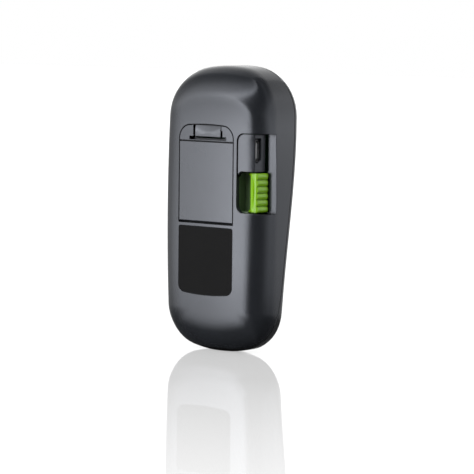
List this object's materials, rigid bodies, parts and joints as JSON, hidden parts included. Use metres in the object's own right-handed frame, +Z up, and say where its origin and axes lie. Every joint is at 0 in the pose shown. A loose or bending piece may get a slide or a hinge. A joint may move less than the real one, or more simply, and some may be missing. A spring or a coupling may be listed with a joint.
{
  "type": "blood glucose meter",
  "caption": "Hand-held blood glucose meter with display, buttons, hinged battery door and a side recess holding a data socket and a plug-in code chip.",
  "frame": {"origin": "middle of the foot, on the surface it stands on", "axes": "+Z up the body, +Y out of the flat back with the battery door, -Y out of the display side, -X out of the side with the data socket and code chip"},
  "size_m": [0.0468, 0.019, 0.0978],
  "materials": {
    "shell_grey": "fine satin texture",
    "shell_dark": "fine satin texture",
    "liner_black": "matte",
    "black_plastic": "matte",
    "label_black": "flat printed foil, bare",
    "lime_plastic": "translucent lime green, glossy",
    "button_black": "satin",
    "lens_clear": "clear, glossy",
    "lcd_glass": "grey green display",
    "steel": "bright",
    "cell_steel": "bright, brushed",
    "gold": "gold plated",
    "spring_bronze": "satin",
    "board_green": "solder mask",
    "rubber_pink": "soft",
    "white_plastic": "satin",
    "grey_plastic": "satin"
  },
  "bodies": {
    "housing": {"rear_cover": "shell_grey", "front_cover": "shell_dark", "port_frame": "shell_grey", "chip_bay": "liner_black", "rating_label": "label_black", "coin_cell": "cell_steel", "battery_tray": "black_plastic", "contact_plus": "spring_bronze", "contact_minus": "spring_bronze", "main_board": "board_green", "board_chips": "black_plastic", "buzzer": "black_plastic", "board_screws": "steel", "port_board": "board_green", "board_header": "black_plastic", "usb_shell": "steel", "usb_tongue": "grey_plastic", "chip_socket": "black_plastic", "display_lens": "lens_clear", "lcd_panel": "lcd_glass", "lcd_frame": "black_plastic", "zebra_strips": "rubber_pink", "button_domes": "steel", "measuring_window": "lens_clear", "strip_guide": "white_plastic", "optics_block": "black_plastic"},
    "door": {"battery_door": "shell_grey"},
    "latch": {"battery_latch": "shell_grey"},
    "chip": {"code_chip": "lime_plastic", "chip_contacts": "gold"},
    "memory_key": {"memory_button": "button_black"},
    "set_key": {"set_button": "button_black"},
    "window": {"window_cover": "shell_dark"}
  },
  "joints": [
    {"name": "door_hinge", "type": "hinge", "parent": "housing", "child": "door", "pos_m": [0.00325, 0.0088, 0.0448], "axis": [-1, 0, 0], "range_deg": [0, 80]},
    {"name": "latch_slide", "type": "slide", "parent": "door", "child": "latch", "axis": [0, 0, -1], "range_m": [0, 0.0008], "stiffness_N_per_m": 1500},
    {"name": "chip_slide", "type": "slide", "parent": "housing", "child": "chip", "axis": [-0.9511, 0.309, 0], "range_m": [0, 0.013]},
    {"name": "memory_press", "type": "slide", "parent": "housing", "child": "memory_key", "axis": [0, 1, 0], "range_m": [0, 0.00035], "stiffness_N_per_m": 4000},
    {"name": "set_press", "type": "slide", "parent": "housing", "child": "set_key", "axis": [0, 1, 0], "range_m": [0, 0.00035], "stiffness_N_per_m": 4000},
    {"name": "window_slide", "type": "slide", "parent": "housing", "child": "window", "axis": [0, -1, 0], "range_m": [0, 0.008]}
  ]
}
